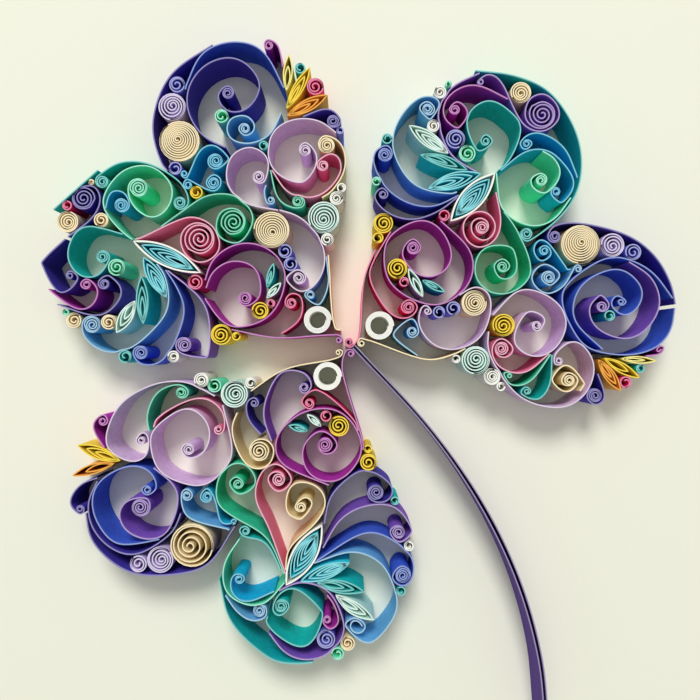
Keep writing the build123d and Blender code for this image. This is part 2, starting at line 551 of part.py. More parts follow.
    strip("cream", [(42.2, -6.05), (43.65, -4.3), (45.9, -6.05), (43.45, -8.65), (40.75, -6.9),
                    (40.6, -5.3), (42.55, -3), (44, -2.9), (46.8, -6.4), (46, -8.2)],
          start=(43.8, -5.85), loose=True)
    strip("teal", [(36.2, -8.1), (35.2, -7.3), (34.1, -8.35), (34.5, -9.6), (36.8, -10.25),
                   (38.25, -9.7), (40.05, -6.9), (40.4, -1)], start=(35.4, -8.2))
    strip("green", [(32.4, -5), (31.6, -4.4), (30.6, -5), (31.6, -6.7), (33.25, -7.3), (36.45, -6.05),
                    (40.2, -0.9)], start=(31.8, -5.15))
    strip("pink", [(32.8, 0.45), (30.5, 2.6), (28.4, 0.65), (28.6, -1.5), (30.25, -3.7), (33.85, -4.7),
                   (36, -4.2), (40.1, -0.9)], start=(30.6, 0.3), loose=True)

    # Fans towards the heart
    strip("light_blue", [(17, 48.5), (15.4, 49.9), (13.85, 48.3), (16.2, 46.3), (18.2, 49.2),
                         (16.6, 50.75), (14.05, 50.65), (11.2, 48.3), (9.2, 44.9), (8.65, 39.9),
                         (12.25, 33.6), (18.15, 31.25), (21.4, 31.65)], start=(15.6, 48.25))
    strip("cobalt", [(8.3, 40.2), (7.05, 41.05), (4.85, 39.35), (4.7, 37.5), (6.85, 32.9), (9.7, 30.4),
                     (13.5, 28.85), (17.25, 28.85), (21.75, 31)], start=(6.95, 39.25))
    strip("navy", [(7.6, 31.5), (6.3, 32.6), (4.8, 31.1), (4.95, 30), (6.65, 28.05), (9.7, 26.45),
                   (13.5, 26.15), (17.25, 27.5), (21.4, 30.55)], start=(6.6, 31.2))
    strip("magenta", [(14.2, 20.8), (12.55, 22.45), (10.4, 19.4), (11.5, 16.5), (14, 14.7),
                      (17.05, 14.7), (19.55, 16.5), (20.4, 19.55), (17.95, 24.4), (13.65, 26.05),
                      (7.7, 22.45), (6.9, 18), (7.7, 14), (11.5, 10.6), (16.7, 8.95), (20.45, 10.05),
                      (23.35, 12.55), (24.75, 16.4), (23.5, 20.8), (18.15, 25.85)], start=(12.65, 20.6))
    strip("crimson", [(10.25, 8.95), (11.85, 10.2), (13.7, 8.6), (12.4, 6.65), (10.95, 6.35),
                      (8.1, 7.2), (4.3, 13.1), (4.15, 16.35), (8.2, 23.6)], start=(11.65, 8.6))
    strip("crimson", [(5.05, 20.1), (3.5, 17.05), (2.6, 12.75), (2.5, 7.35), (2.35, 3.75), (1.1, 1.45)],
          end=(-0.1, 1.6))
    strip("cream", [(1.6, 1.95), (2.5, 2.4), (5.05, 1.7), (11.6, -1.15), (15.55, -1.95), (19.15, -1.5),
                    (23.1, 0.3)], start=(2.3, 1.4))
    strip("light_blue", [(12.6, 2.45), (13.85, 3.55), (13.2, 5.85), (11.6, 6.25), (8.9, 4.1),
                         (9.1, 2.1), (13.4, -1.4)], start=(12.5, 3.65))

    coils("white_coils", (eyed, 18.1, 51.6, 1.3), (eyed, 16.2, 44.95, 1.5),
          (tight, 21.2, -1.65, 0.87), (eyed, 28.45, -5.35, 1.48), (tight, 30, -6.95, 0.93))
    coils("mint_coils", (tight, 20.05, 52.9, 0.7), (eyed, 23.55, 39.4, 1.72),
          (tight, 5.3, 33.8, 0.9), (wound, 25.15, -2.05, 2.9))
    coils("cream_coils", (eyed, 34.3, 51.45, 2.15), (wound, 24.85, 9.4, 2.5), (wound, 46, 21, 4.0))
    coils("blue_coils", (eyed, 21.2, 42.4, 2.2), (tight, 17.8, 7.6, 1.08), (tight, 20.7, 8.35, 1.1),
          (eyed, 57.6, 19.5, 1.9))
    coils("teal_coils", (tight, 7.4, 42.25, 1.08), (tight, 52, 6.9, 1.04),
          (tight, 58.1, -3.7, 0.75))
    coils("yellow_coils", (eyed, 6.85, 25.5, 2.05), (tight, 5.65, 22.5, 1.1),
          (eyed, 9.2, 16.3, 2.1), (eyed, 30.75, 5, 2.05))
    coils("crimson_coils", (tight, 18.65, 26.65, 1.15), (tight, 10.75, 13.8, 1),
          (tight, 54.9, -6.05, 1.22))
    coils("lavender_coils", (wound, 52.9, 21.1, 2.65))


def bottom_leaf():
    marquise("turquoise_marquises", (-5.6, -35.1), (-12.8, -47.1), 2.4, -2.4, border=True)
    marquise("turquoise_marquises", (-0.1, -42.65), (-9.9, -46.35), 1.45, -1.45)
    marquise("teal_marquises", (2.85, -48.4), (-6.65, -46.6), 1.25, -1.4)
    marquise("pale_marquises", (4.85, -54.05), (-2.9, -49.05), 1.5, -1.1)
    marquise("pale_marquises", (-8.6, -12.9), (-5.8, -15.3), 0.65, -0.65)
    marquise("teal_marquises", (-12.3, -15.1), (-8.5, -16.2), 0.7, -0.7)
    marquise("orange_marquises", (-55.6, -25.2), (-47.2, -22.7), 1.2, -0.9)
    marquise("yellow_marquises", (-54.6, -19.05), (-46, -22.2), 1.3, -1.3)
    white_ring(-4.5, -5.3, 3.0, 1.8)

    def strip(colour, points, start=None, end=None, loose=False):
        scroll(f"bottom_leaf_{colour}_scrolls", points, start, end, loose)

    # Side lobe
    strip("navy", [(-53.2, -32.2), (-54, -32.9), (-55.75, -31.5), (-56.05, -30.1), (-54.4, -27.2),
                   (-50.6, -25.6)], start=(-54.1, -31.9))
    strip("navy", [(-52.85, -32.75), (-52.25, -36.9), (-49.9, -40.5), (-46.3, -43.35), (-42.55, -44.9),
                   (-36.95, -45.15), (-30.45, -43.9), (-27.6, -42.1), (-23.1, -35.3)])
    strip("navy", [(-50.6, -26.3), (-52.4, -30.1), (-51.7, -35.3), (-48.8, -39.05), (-45.25, -40.75),
                   (-41.65, -40.6), (-35.35, -36.3), (-33.95, -32.75)])
    strip("violet", [(-39.3, -23.6), (-35.7, -26.3), (-34.35, -30.1), (-36.25, -36), (-38.05, -37.45),
                     (-40.75, -37.9), (-44.35, -36.55), (-46.2, -33.5), (-45.25, -30.6),
                     (-41.65, -29.4), (-40, -30.6)], end=(-41.9, -31.4))
    strip("cobalt", [(-41.7, -28), (-40.6, -29.1), (-38.6, -27.4), (-39.65, -24.7), (-40.9, -23.8),
                     (-44.35, -23.2), (-50.25, -26.4), (-51.7, -31.5), (-48.65, -37.5), (-45.25, -39),
                     (-38.2, -37.9)], start=(-40.65, -28.1))
    strip("magenta", [(-48.5, -13.9), (-49.5, -12.8), (-51.2, -14.2), (-51.55, -15.7), (-49.2, -19.6)],
          start=(-49.5, -14.2))
    strip("mauve", [(-42.9, -18.05), (-41.85, -16.45), (-40.3, -17.35), (-40.4, -20.55), (-42.2, -22.2),
                    (-44.9, -22.3), (-47.75, -20.75), (-48.95, -17.5), (-46.15, -11.05), (-43.3, -8.9),
                    (-40, -7.1), (-36, -6.3), (-32.85, -6.4), (-27.1, -9.2)], start=(-41.85, -18.05))
    strip("mauve", [(-33.8, -20.1), (-32.3, -21.8), (-29.3, -20.6), (-28, -17.15), (-28.9, -13.9),
                    (-31.8, -11.85), (-33.4, -11.75), (-39.15, -15.7), (-39.9, -19.5), (-37.9, -24.7),
                    (-31, -27.2), (-28, -26.5), (-24.8, -23.45), (-23.55, -19.85), (-25.5, -11.05)],
          start=(-32.4, -19.95))
    strip("green", [(-32.35, -8.2), (-33.6, -6.9), (-35.2, -6.8), (-38.6, -8.4), (-40.6, -12.5),
                    (-40.2, -16.2)], start=(-33.7, -8.45))
    strip("pink", [(-26.3, -16.9), (-25.1, -15.8), (-25.3, -12.5), (-27.65, -10.15), (-31.1, -9.65),
                   (-37.9, -12.85), (-39.3, -15.5)], start=(-26.3, -15.9))

    # Inner curls
    strip("cream", [(-15.1, -20.05), (-16, -22.9), (-18.5, -23.9), (-21.2, -22.55), (-23.7, -16.45),
                    (-22.6, -12.6)], start=(-17.95, -20.25), loose=True)
    strip("navy", [(-18.3, -10.5), (-19.2, -9.4), (-20.7, -10.4), (-20.9, -12.5), (-20, -14.5),
                   (-17.8, -16.9)], start=(-19.2, -10.6))
    strip("violet", [(-8.9, -8.7), (-7.65, -7.3), (-8.55, -4.95), (-11.25, -3.95), (-14.45, -4.95),
                     (-17.25, -11.05), (-16.95, -15), (-15.7, -18.25)], start=(-9.1, -7.55))
    strip("cream", [(-1.45, -0.4), (-2.45, -1.7), (-4.9, -2.05), (-8, -2.65), (-14.4, -4.75),
                    (-19.75, -8.3)], start=(-2.25, -0.6))
    strip("magenta", [(-0.2, 0.15), (-1.05, -0.3), (-1.75, -2.25), (-1.35, -5.35), (-0.4, -8),
                      (2.4, -16.45), (2.55, -20)], start=(0.1, -0.7))
    strip("crimson", [(-8.2, -11.85), (-9.8, -10.35), (-8.35, -8.45), (-5.3, -8.1), (0.45, -13.4),
                      (1.85, -16.1)], start=(-8.25, -10.7))
    strip("magenta", [(-2.45, -18.6), (-4.4, -16.4), (-7.1, -16.6), (-9.6, -20), (-8.55, -24.35),
                      (-5.15, -26.3), (-1, -25.4), (2.5, -20.4), (1.5, -15.55), (-2.95, -11.95),
                      (-8.5, -12.1), (-13.2, -15.2), (-15, -19.3), (-12.85, -23.45), (-4.25, -27.05)],
          start=(-4.75, -18.95), loose=True)

    # Hearts
    strip("green", [(-21.3, -26.5), (-22.75, -25.25), (-24.3, -26.85), (-22, -29.1), (-19.15, -27.25),
                    (-18.95, -25), (-21.2, -22.7), (-24.25, -22.8), (-26.4, -25.25), (-26.85, -29.2),
                    (-25.6, -31.9), (-19.35, -35.5), (-16.3, -38), (-13.15, -44.8)],
          start=(-22.6, -26.7), loose=True)
    strip("pink", [(-16.55, -26.1), (-14.4, -28.6), (-11.5, -26), (-14.6, -22.7), (-17.8, -24.5),
                   (-18.9, -30.3), (-15.55, -37.3), (-12.9, -45)], start=(-14.5, -26), loose=True)
    strip("cream", [(-11.1, -31.2), (-9.3, -29.3), (-7.35, -31), (-10.1, -33.9), (-12.8, -32.25),
                    (-12.2, -27.6), (-9.6, -26.35), (-6.4, -27.4), (-4.85, -30.3), (-5.95, -34.05),
                    (-11, -39.45), (-12.6, -44.65)], start=(-9.7, -31.3), loose=True)

    # Fans
    strip("light_blue", [(3.05, -55.25), (1.45, -53.3), (-0.5, -54.1), (-0.6, -55.6), (2.85, -58.45),
                         (5.9, -57.5), (9.35, -52), (9.2, -49.15), (6.45, -42.85), (0.15, -40.35),
                         (-7.2, -42.6)], start=(1.35, -55.3))
    strip("cobalt", [(-6.6, -42.3), (-3.1, -40), (0.15, -37.65), (3.75, -36.55), (7.35, -37.3),
                     (12.2, -41.05), (12.75, -43.9), (12.05, -46.45), (10.05, -47.25), (8.4, -45.5),
                     (10.05, -43.2)], end=(10.5, -45))
    strip("violet", [(-5.4, -39.6), (-3.8, -36.2), (-1.3, -33.35), (1.95, -31.55), (5.55, -30.9),
                     (9.15, -31.45), (12.2, -35.2), (12.1, -37), (10, -38.6), (8, -36.6)],
          end=(9.6, -36.55))
    strip("navy", [(-5.15, -34.75), (-4.15, -29.75), (0.15, -25.1), (2.25, -24.05), (4, -24.15),
                   (7.5, -26), (8.6, -28.4), (7.35, -30.3), (4.8, -30.4)], end=(5.2, -28.6))

    # Lower lobe
    strip("light_blue", [(-31.5, -28.9), (-32.5, -27.9), (-33.8, -28.8), (-33.5, -31.7), (-31.9, -33.9),
                         (-28.15, -34.75), (-25.1, -35.3), (-24.2, -36.05)], start=(-32.7, -29.05))
    strip("cerulean", [(-30, -29.3), (-28.6, -27.5), (-27.1, -29.5), (-26.8, -32.6), (-25.25, -34.8),
                       (-22.75, -34.3)], start=(-28.65, -29.3), end=(-23.35, -34.3))
    strip("teal", [(-21.2, -35.3), (-22.1, -35.9), (-21.15, -37.35), (-18.25, -37.55), (-15.75, -39.25),
                   (-13.4, -43.75)], start=(-21, -36.3))
    strip("mint", [(-20.7, -44.45), (-18.6, -46.9), (-15.75, -45.7), (-14.65, -42.3), (-16.3, -38.9),
                   (-19.85, -37.6), (-25.9, -42.15), (-25.95, -46.1), (-24, -49.3), (-20.4, -51.1),
                   (-16.8, -50.65), (-13.15, -46.6)], start=(-18.6, -44.45), loose=True)
    strip("cerulean", [(-21.2, -45.35), (-22.4, -44.75), (-23.8, -45.7), (-23.65, -48.6),
                       (-20.4, -50.6), (-14.85, -48.6)], start=(-22.2, -45.8))
    strip("light_blue", [(-16.75, -51.4), (-16.75, -53.45), (-19.1, -54.35), (-21.95, -53.15),
                         (-24.9, -49.15)], start=(-18.05, -52.2))
    strip("teal", [(-26.2, -46), (-25.25, -50.2), (-23.75, -54.5), (-17.1, -61), (-13.15, -62.7),
                   (-7.4, -62.5)])
    strip("teal", [(-12.15, -51.45), (-13.85, -53.3), (-15.65, -51.65), (-13.7, -48.4), (-10.4, -47.8),
                   (-5.95, -51.8), (-5.5, -53.8), (-6.85, -57.55), (-10.45, -59.55), (-16.45, -55.4),
                   (-16.5, -53.4)], start=(-13.7, -51.35))
    strip("violet", [(-14.2, -48.2), (-10.8, -46.45), (-7.25, -46.8), (-3.6, -48.75), (-1.1, -55.6),
                     (-2.35, -58.8), (-5, -61.2), (-8.6, -62.1), (-12.55, -61), (-16.2, -56.65)])
    strip("magenta", [(-5.5, -54.6), (-3.95, -56), (-2.1, -54.4), (-2.4, -51.5), (-4.4, -49)],
          start=(-4.6, -54.05))

    coils("white_coils", (tight, -29.8, -6, 1), (tight, -19.7, -6.85, 1.15),
          (tight, 11.8, -39.3, 0.65))
    coils("mint_coils", (eyed, -27.85, -6.85, 1.4), (wound, -23.8, -8.35, 3.1),
          (tight, -2.5, -60.8, 0.95))
    coils("crimson_coils", (tight, -4.85, -12.95, 1.15))
    coils("yellow_coils", (eyed, -2.25, -15.2, 2.1), (eyed, 3.7, -22.45, 1.48),
          (tight, 3.35, -20.1, 0.85))
    coils("teal_coils", (tight, 9, -30.2, 0.6), (tight, 10.2, -48.3, 0.8))
    coils("cream_coils", (eyed, -0.5, -58.8, 1.5), (wound, -31.65, -39.25, 4.75))
    coils("blue_coils", (eyed, -4.8, -57.9, 1.9))
    coils("lavender_coils", (eyed, -42.7, -42.75, 1.75), (wound, -38.25, -42.45, 2.7))


def stem():
    points = [(0.5, 0.9), (7.3, -6), (15.7, -15.7), (25.3, -29.1), (33, -44.4), (37.7, -59.7),
              (39.5, -76)]
    for side, shift in (("inner", -STEM_GAP), ("outer", STEM_GAP)):
        scroll(f"{side}_stem_strip", [(x + shift, y + shift / 2) for x, y in points])


left_leaf()
right_leaf()
bottom_leaf()
stem()

boxes = [solid.bounding_box() for solids in pieces.values() for solid in solids]
middle_x = (min(box.min.X for box in boxes) + max(box.max.X for box in boxes)) / 2
middle_y = (min(box.min.Y for box in boxes) + max(box.max.Y for box in boxes)) / 2

os.makedirs("parts", exist_ok=True)
for name, solids in pieces.items():
    centred = [Pos(-middle_x, -middle_y) * solid for solid in solids]
    export_step(Compound(children=centred), f"parts/{name}.step")
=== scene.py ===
import math

import bpy
import numpy as np
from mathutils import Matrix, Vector
from mathutils.kdtree import KDTree


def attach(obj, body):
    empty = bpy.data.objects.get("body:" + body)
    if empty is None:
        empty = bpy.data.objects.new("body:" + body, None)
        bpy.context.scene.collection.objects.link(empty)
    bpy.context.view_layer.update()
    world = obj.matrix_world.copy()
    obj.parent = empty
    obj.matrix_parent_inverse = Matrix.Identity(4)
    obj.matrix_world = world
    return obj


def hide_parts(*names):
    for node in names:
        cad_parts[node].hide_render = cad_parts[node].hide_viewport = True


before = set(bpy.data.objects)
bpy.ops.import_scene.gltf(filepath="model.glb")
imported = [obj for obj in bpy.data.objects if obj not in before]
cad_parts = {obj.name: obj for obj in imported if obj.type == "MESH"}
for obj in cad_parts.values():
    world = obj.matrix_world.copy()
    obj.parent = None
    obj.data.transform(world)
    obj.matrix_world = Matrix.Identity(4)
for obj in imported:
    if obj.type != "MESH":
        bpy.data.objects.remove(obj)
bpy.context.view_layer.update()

# Quilled paper clover. Every strip of paper is drawn as a smooth ribbon along the middle line of
# its solid, and curls, coils and rings get their fine inner turns. Metres.

MM = 0.001
TINY = 1e-9
ROOT = "root"

# Paper strips. The beats scatter the strips' heights and the coils' starts and leans.
PAPER = 0.24 * MM
STRIP_HEIGHT = 10 * MM
HEIGHT_SPREAD = 0.12 * MM
HEIGHT_BEAT = 91.7
START_BEAT = 2.4
LEAN_BEAT = 5.1
SHARP_EDGE = math.radians(50)

# Outlines of the solids
LEVEL_FACE = 0.5
SAME_HEIGHT = 0.01 * MM
CORNER_DIGITS = 6

# Smooth lines
STEP = 0.3 * MM
FEWEST_STEPS = 6
CHORD_STEPS = 10
SHORT_CHORD = 1.0 * MM
LONG_CHORD = 4.5 * MM
FINE_PASSES = 2
BROAD_PASSES = 34

# Easing lines clear of each other
CLEAR = 0.27 * MM
EASE_STRIDE = 0.05 * MM
EASE_SHARE = 0.6
EASE_ROUNDS = 14
CALM_PASSES = 6
OWN_REACH = 8

# Curls at the ends of strips
CURL_PITCH = 0.44 * MM
LOOSE_PITCH = 0.85 * MM
PITCH_SHARE = 0.3
LARGEST_CURL = 3.2 * MM
EYE_RADIUS = 0.28 * MM
TURN_STEPS = 22
TURN_CORNERS = 4
SHARP_TURN = 0.2 * math.pi
CURL_ROOM = 0.95
LEAST_TURN = 0.2

# Closed coils
COIL_PITCH = 0.46 * MM
CLOSE_PITCHES = {"white_coils": 0.31 * MM, "cream_coils": 0.38 * MM}
SPRUNG_PITCH = 0.85 * MM
SPRUNG_RADIUS = 4.0 * MM
COIL_FIT = 0.97
FEWEST_TURNS = 1.6
OUTER_TURN = 0.98
COIL_DRIFT = 0.16
DRIFT_RADIUS = 3 * MM
LEAST_DRIFT = 0.2
LARGE_MINT = 2.4 * MM
RIM_SHARE = 0.9
RIM_ROUNDS = 3

# White rings
RING_PITCH = 0.33 * MM
RING_PAPER = 0.22 * MM
RING_STEPS = 44
RING_FIT = 0.98

# Pinched coils: their turns gather at the inner tip
PINCH_PITCH = 0.36 * MM
BORDER_PITCH = 0.26 * MM
BORDER_PAPER = 1.4 * PAPER
FEWEST_PINCHED = 2
SIDE_STEPS = 18
BELLY = (0.2, 0.8)
TIP_GAP = 0.12 * MM
OUTER_GATHER = 0.62
INNER_GATHER = 0.1

# Colours of the papers, from 0 to 255, and how far their top edges go towards white: partly the paper's
# pale cut core, partly a painted highlight from the light above
PAPER_COLOURS = {
    "navy": (42, 30, 138),
    "cobalt": (36, 70, 185),
    "light_blue": (80, 156, 208),
    "cerulean": (0, 150, 200),
    "teal": (0, 160, 156),
    "mint": (74, 222, 168),
    "green": (26, 186, 134),
    "mauve": (198, 164, 206),
    "pink": (228, 105, 148),
    "magenta": (152, 22, 142),
    "crimson": (216, 22, 92),
    "violet": (102, 60, 166),
    "cream": (252, 226, 164),
    "blue": (78, 84, 190),
    "lavender": (186, 166, 220),
    "white": (250, 250, 236),
    "yellow": (252, 216, 52),
    "orange": (248, 164, 52),
    "turquoise": (24, 190, 208),
    "pale": (196, 242, 226),
    "pale_yellow": (252, 236, 120),
    "stem": (60, 34, 112),
}
EDGE_CORE_AND_HIGHLIGHT_WHITE = (255, 255, 250)
PALER_EDGE = 0.5
WARM_EDGES = {"cream": 0.35, "yellow": 0.12, "orange": 0.12, "pale_yellow": 0.2}

# Paper finish: walls are lifted, as they are seen at a slant and get less light
LIGHTEST = 0.88
WALL_CURVE = 0.8
DEEP_LIFT = 1.1
FULL_LIFT = 1.3
MOTTLE_SCALE = 900.0
MOTTLE_DETAIL = 3.0
MOTTLE_BAND = (0.3, 0.7)
FIBRE_SCALE = 5200.0
FIBRE_DETAIL = 2.0
FIBRE_DEPTH = 0.04 * MM
FIBRE_STRENGTH = 0.35
# The top band of every wall is painted paler: partly the paper's pale cut core, partly a painted
# highlight of the light from above
EDGE_BAND = (STRIP_HEIGHT - 0.5 * MM, STRIP_HEIGHT - 0.2 * MM)
EDGE_COVER = 0.75
EDGE_FIBRES = 0.5
PAPER_ROUGHNESS = 0.78
ROUGHNESS_MOTTLE = 0.16
PAPER_SPECULAR = 0.25

# Ground
FLOOR_SIZE = 0.6
FLOOR_DROP = 0.02 * MM
FLOOR_COLOUR = (0.885, 0.885, 0.74)
FLOOR_SHADE = 0.97
GRAIN_SCALE = 1400.0
GRAIN_DETAIL = 3.0
FLOOR_ROUGHNESS = 0.92
FLOOR_SPECULAR = 0.1

# The photograph's view, whose middle lies a little left of and above the origin, and its light
PHOTO_MIDDLE = (-1.748 * MM, 6.932 * MM)
CAMERA_HEIGHT = 154 * MM
CAMERA_LENS = 37.03
CAMERA_SENSOR = 36
NEAR_CLIP = 0.01
WINDOW_PLACE = (-0.14, 1.36, 1.70)
WINDOW_SIZE = 0.8
WINDOW_POWER = 33.0
SKY_PLACE = (-0.1, 0.1, 0.9)
SKY_SIZE = 0.7
SKY_POWER = 1.2
ROOM_LIGHT = 0.35


# Materials

class Sock:
    """A socket of a material's nodes, with arithmetic."""

    def __init__(self, shader, socket):
        self.shader = shader
        self.socket = socket

    def math(self, operation, other):
        return self.shader.node("ShaderNodeMath", {"operation": operation}, {0: self, 1: other})

    def __add__(self, other):
        return self.math("ADD", other)

    __radd__ = __add__

    def __mul__(self, other):
        return self.math("MULTIPLY", other)

    __rmul__ = __mul__


class Shader:
    """The nodes of one material round its Principled shader."""

    def __init__(self, name):
        self.material = bpy.data.materials.new(name)
        self.material.use_nodes = True
        self.nodes = self.material.node_tree.nodes
        self.links = self.material.node_tree.links
        self.surface = self.nodes["Principled BSDF"]

    def node(self, kind, settings, inputs, output=0):
        node = self.nodes.new(kind)
        for key, value in settings.items():
            setattr(node, key, value)
        for key, value in inputs.items():
            self.feed(node.inputs[key], value)
        return Sock(self, node.outputs[output])

    def feed(self, socket, value):
        if isinstance(value, Sock):
            self.links.new(value.socket, socket)
        else:
            socket.default_value = value

    def set(self, name, value):
        self.feed(self.surface.inputs[name], value)

    def noise(self, place, scale, detail):
        return self.node("ShaderNodeTexNoise", {}, {"Vector": place, "Scale": scale, "Detail": detail})

    def ramp(self, value, low, high):
        """Rises smoothly from 0 at the low value to 1 at the high one."""
        settings = {"interpolation_type": "SMOOTHSTEP"}
        return self.node("ShaderNodeMapRange", settings, {0: value, 1: low, 2: high, 3: 0.0, 4: 1.0})

    def mix(self, share, first, second):
        settings = {"data_type": "RGBA"}
        return self.node("ShaderNodeMix", settings, {0: share, 6: first, 7: second}, 2)


def linear(colour):
    """A linear colour from values of 0 to 255 on the usual screen curve."""
    parts = [part / 255 for part in colour]
    curved = [p / 12.92 if p <= 0.04045 else ((p + 0.055) / 1.055) ** 2.4 for p in parts]
    return (*curved, 1.0)


def blended(colour, other, share):
    return tuple(a + (b - a) * share for a, b in zip(colour, other))


def lifted(colour, gain):
    """A brighter colour, with no part above the lightest."""
    raised = [gain * part ** WALL_CURVE for part in colour[:3]]
    over = max(1.0, max(raised) / LIGHTEST)
    return (*[part / over for part in raised], 1.0)


def paper_material(name, colour):
    """Matt coloured paper: mottled fibres on its sides and a paler edge on top, partly the paper's pale
    cut core and partly a painted highlight.
    """
    shader = Shader(f"{name}_paper")
    place = shader.node("ShaderNodeNewGeometry", {}, {})
    height = shader.node("ShaderNodeSeparateXYZ", {}, {0: place}, 2)
    mottle = shader.noise(place, MOTTLE_SCALE, MOTTLE_DETAIL)
    fibres = shader.noise(place, FIBRE_SCALE, FIBRE_DETAIL)
    deep = lifted(linear(colour), DEEP_LIFT)
    full = lifted(linear(colour), FULL_LIFT)
    sides = shader.mix(shader.ramp(mottle, *MOTTLE_BAND), deep, full)
    # Painted highlight along the top edge, mixed with the paper's paler cut core
    pale_edge_and_highlight = linear(blended(colour, EDGE_CORE_AND_HIGHLIGHT_WHITE, WARM_EDGES.get(name, PALER_EDGE)))
    on_top = shader.ramp(height, *EDGE_BAND) * (EDGE_COVER + fibres * EDGE_FIBRES)
    shader.set("Base Color", shader.mix(on_top, sides, pale_edge_and_highlight))
    shader.set("Roughness", PAPER_ROUGHNESS + mottle * ROUGHNESS_MOTTLE)
    shader.set("Specular IOR Level", PAPER_SPECULAR)
    relief = {"Strength": FIBRE_STRENGTH, "Distance": FIBRE_DEPTH, "Height": fibres}
    shader.set("Normal", shader.node("ShaderNodeBump", {}, relief))
    return shader.material


def floor_material():
    shader = Shader("cream_ground")
    place = shader.node("ShaderNodeNewGeometry", {}, {})
    grain = shader.noise(place, GRAIN_SCALE, GRAIN_DETAIL)
    pale = (*FLOOR_COLOUR, 1.0)
    shade = (*[part * FLOOR_SHADE for part in FLOOR_COLOUR], 1.0)
    shader.set("Base Color", shader.mix(grain, shade, pale))
    shader.set("Roughness", FLOOR_ROUGHNESS)
    shader.set("Specular IOR Level", FLOOR_SPECULAR)
    return shader.material


# Outlines and middle lines of the solids

def lengths(vectors):
    return np.hypot(vectors[..., 0], vectors[..., 1])


def sideways(vectors):
    """The vectors, each turned a quarter to its left."""
    return np.stack([-vectors[..., 1], vectors[..., 0]], axis=-1)


def area(loop):
    x, y = loop.T
    return (x @ np.roll(y, -1) - y @ np.roll(x, -1)) / 2


def top_loops(mesh):
    """The closed loops along the upper edges of a mesh's walls."""
    top = max(vertex.co.z for vertex in mesh.vertices)
    follows = {}
    places = {}
    for face in mesh.polygons:
        if abs(face.normal.z) > LEVEL_FACE:
            continue
        corners = [mesh.vertices[i].co for i in face.vertices]
        for a, b in zip(corners, corners[1:] + corners[:1]):
            if min(a.z, b.z) > top - SAME_HEIGHT:
                start, end = [(round(p.x, CORNER_DIGITS), round(p.y, CORNER_DIGITS)) for p in (a, b)]
                follows[start] = end
                places.update({start: (a.x, a.y), end: (b.x, b.y)})
    while follows:
        start, after = follows.popitem()
        loop = [start]
        while after != start:
            loop.append(after)
            after = follows.pop(after)
        yield np.array([places[corner] for corner in loop])


def top_outlines(node):
    """The outlines of a node's solids from above, as pairs of an outline and its holes."""
    loops = sorted(top_loops(node.data), key=lambda loop: -abs(area(loop)))
    turning = np.sign(area(loops[0]))
    outlines = [(loop, []) for loop in loops if area(loop) * turning > 0]
    for hole in (loop for loop in loops if area(loop) * turning < 0):
        home = min(outlines, key=lambda item: lengths(item[0].mean(0) - hole.mean(0)))
        home[1].append(hole)
    return outlines


def middle_line(loop):
    """The middle line of a strip, from the outline that runs up one side and back down the other."""
    count = len(loop) // 2
    steps = lengths(np.roll(loop, -1, axis=0) - loop)
    ends = steps[:count] + steps[count:]
    cap = int(ends.argmin())
    turned = np.roll(loop, -(cap + 1), axis=0)
    return (turned[:count] + turned[count:][::-1]) / 2


# Smooth lines

def smooth(points):
    """Fine points along a smooth curve through the given ones."""
    chain = np.vstack([2 * points[0] - points[1], points, 2 * points[-1] - points[-2]])
    fine = []
    for before, start, end, after in zip(chain, chain[1:], chain[2:], chain[3:]):
        last, own, following = (math.sqrt(lengths(v)) for v in (start - before, end - start, after - end))
        slope_in = (end - before) / (last + own) * own
        slope_out = (after - start) / (own + following) * own
        for t in np.linspace(0, 1, CHORD_STEPS, endpoint=False):
            rise = 3 * t ** 2 - 2 * t ** 3
            bend = (t - 2 * t ** 2 + t ** 3) * slope_in - (t ** 2 - t ** 3) * slope_out
            fine.append(start + rise * (end - start) + bend)
    return np.vstack([fine, points[-1]])


def travelled(line):
    """The distance along a line from its start to each of its points."""
    return np.concatenate([[0], np.cumsum(lengths(np.diff(line, axis=0)))])


def spaced(line, count):
    """Evenly spaced points along a line."""
    along = travelled(line)
    places = np.linspace(0, along[-1], count)
    return np.column_stack([np.interp(places, along, line[:, k]) for k in (0, 1)])


def stepped(line, step):
    return spaced(line, max(FEWEST_STEPS, round(travelled(line)[-1] / step)) + 1)


def passes(line, count):
    """Evens out a line between its ends, pass after pass."""
    line = line.copy()
    for _ in range(count):
        line[1:-1] = (line[:-2] + 2 * line[1:-1] + line[2:]) / 4
    return line


def rounded(line, corners):
    """Evens out a curve: little where its corners lie close, as in curls, and more elsewhere."""
    fine = passes(line, FINE_PASSES)
    broad = passes(line, BROAD_PASSES)
    chords = lengths(np.diff(corners, axis=0))
    reach = travelled(corners)
    along = np.linspace(0, reach[-1], len(line))
    nearest = np.interp(along, (reach[1:] + reach[:-1]) / 2, chords)
    share = np.clip((nearest - SHORT_CHORD) / (LONG_CHORD - SHORT_CHORD), 0, 1)[:, None]
    return fine + (broad - fine) * share


def around(centre, reach, angle):
    """Points at the given reaches and angles round a centre."""
    return centre + reach[:, None] * np.column_stack([np.cos(angle), np.sin(angle)])


def circle_centre(points):
    """Centre of the circle that best fits some points."""
    origin = points.mean(0)
    near = points - origin
    rows = np.column_stack([2 * near, np.full(len(near), MM)])
    return origin + np.linalg.lstsq(rows, (near ** 2).sum(1), rcond=None)[0][:2]


def turns_inward(turn, sense):
    """Whether the line turns one way, and sharply, at each of the corners."""
    steps = np.diff(turn, axis=0)
    heading = np.unwrap(np.arctan2(steps[:, 1], steps[:, 0]))
    return (sense * np.diff(heading) > SHARP_TURN).all()


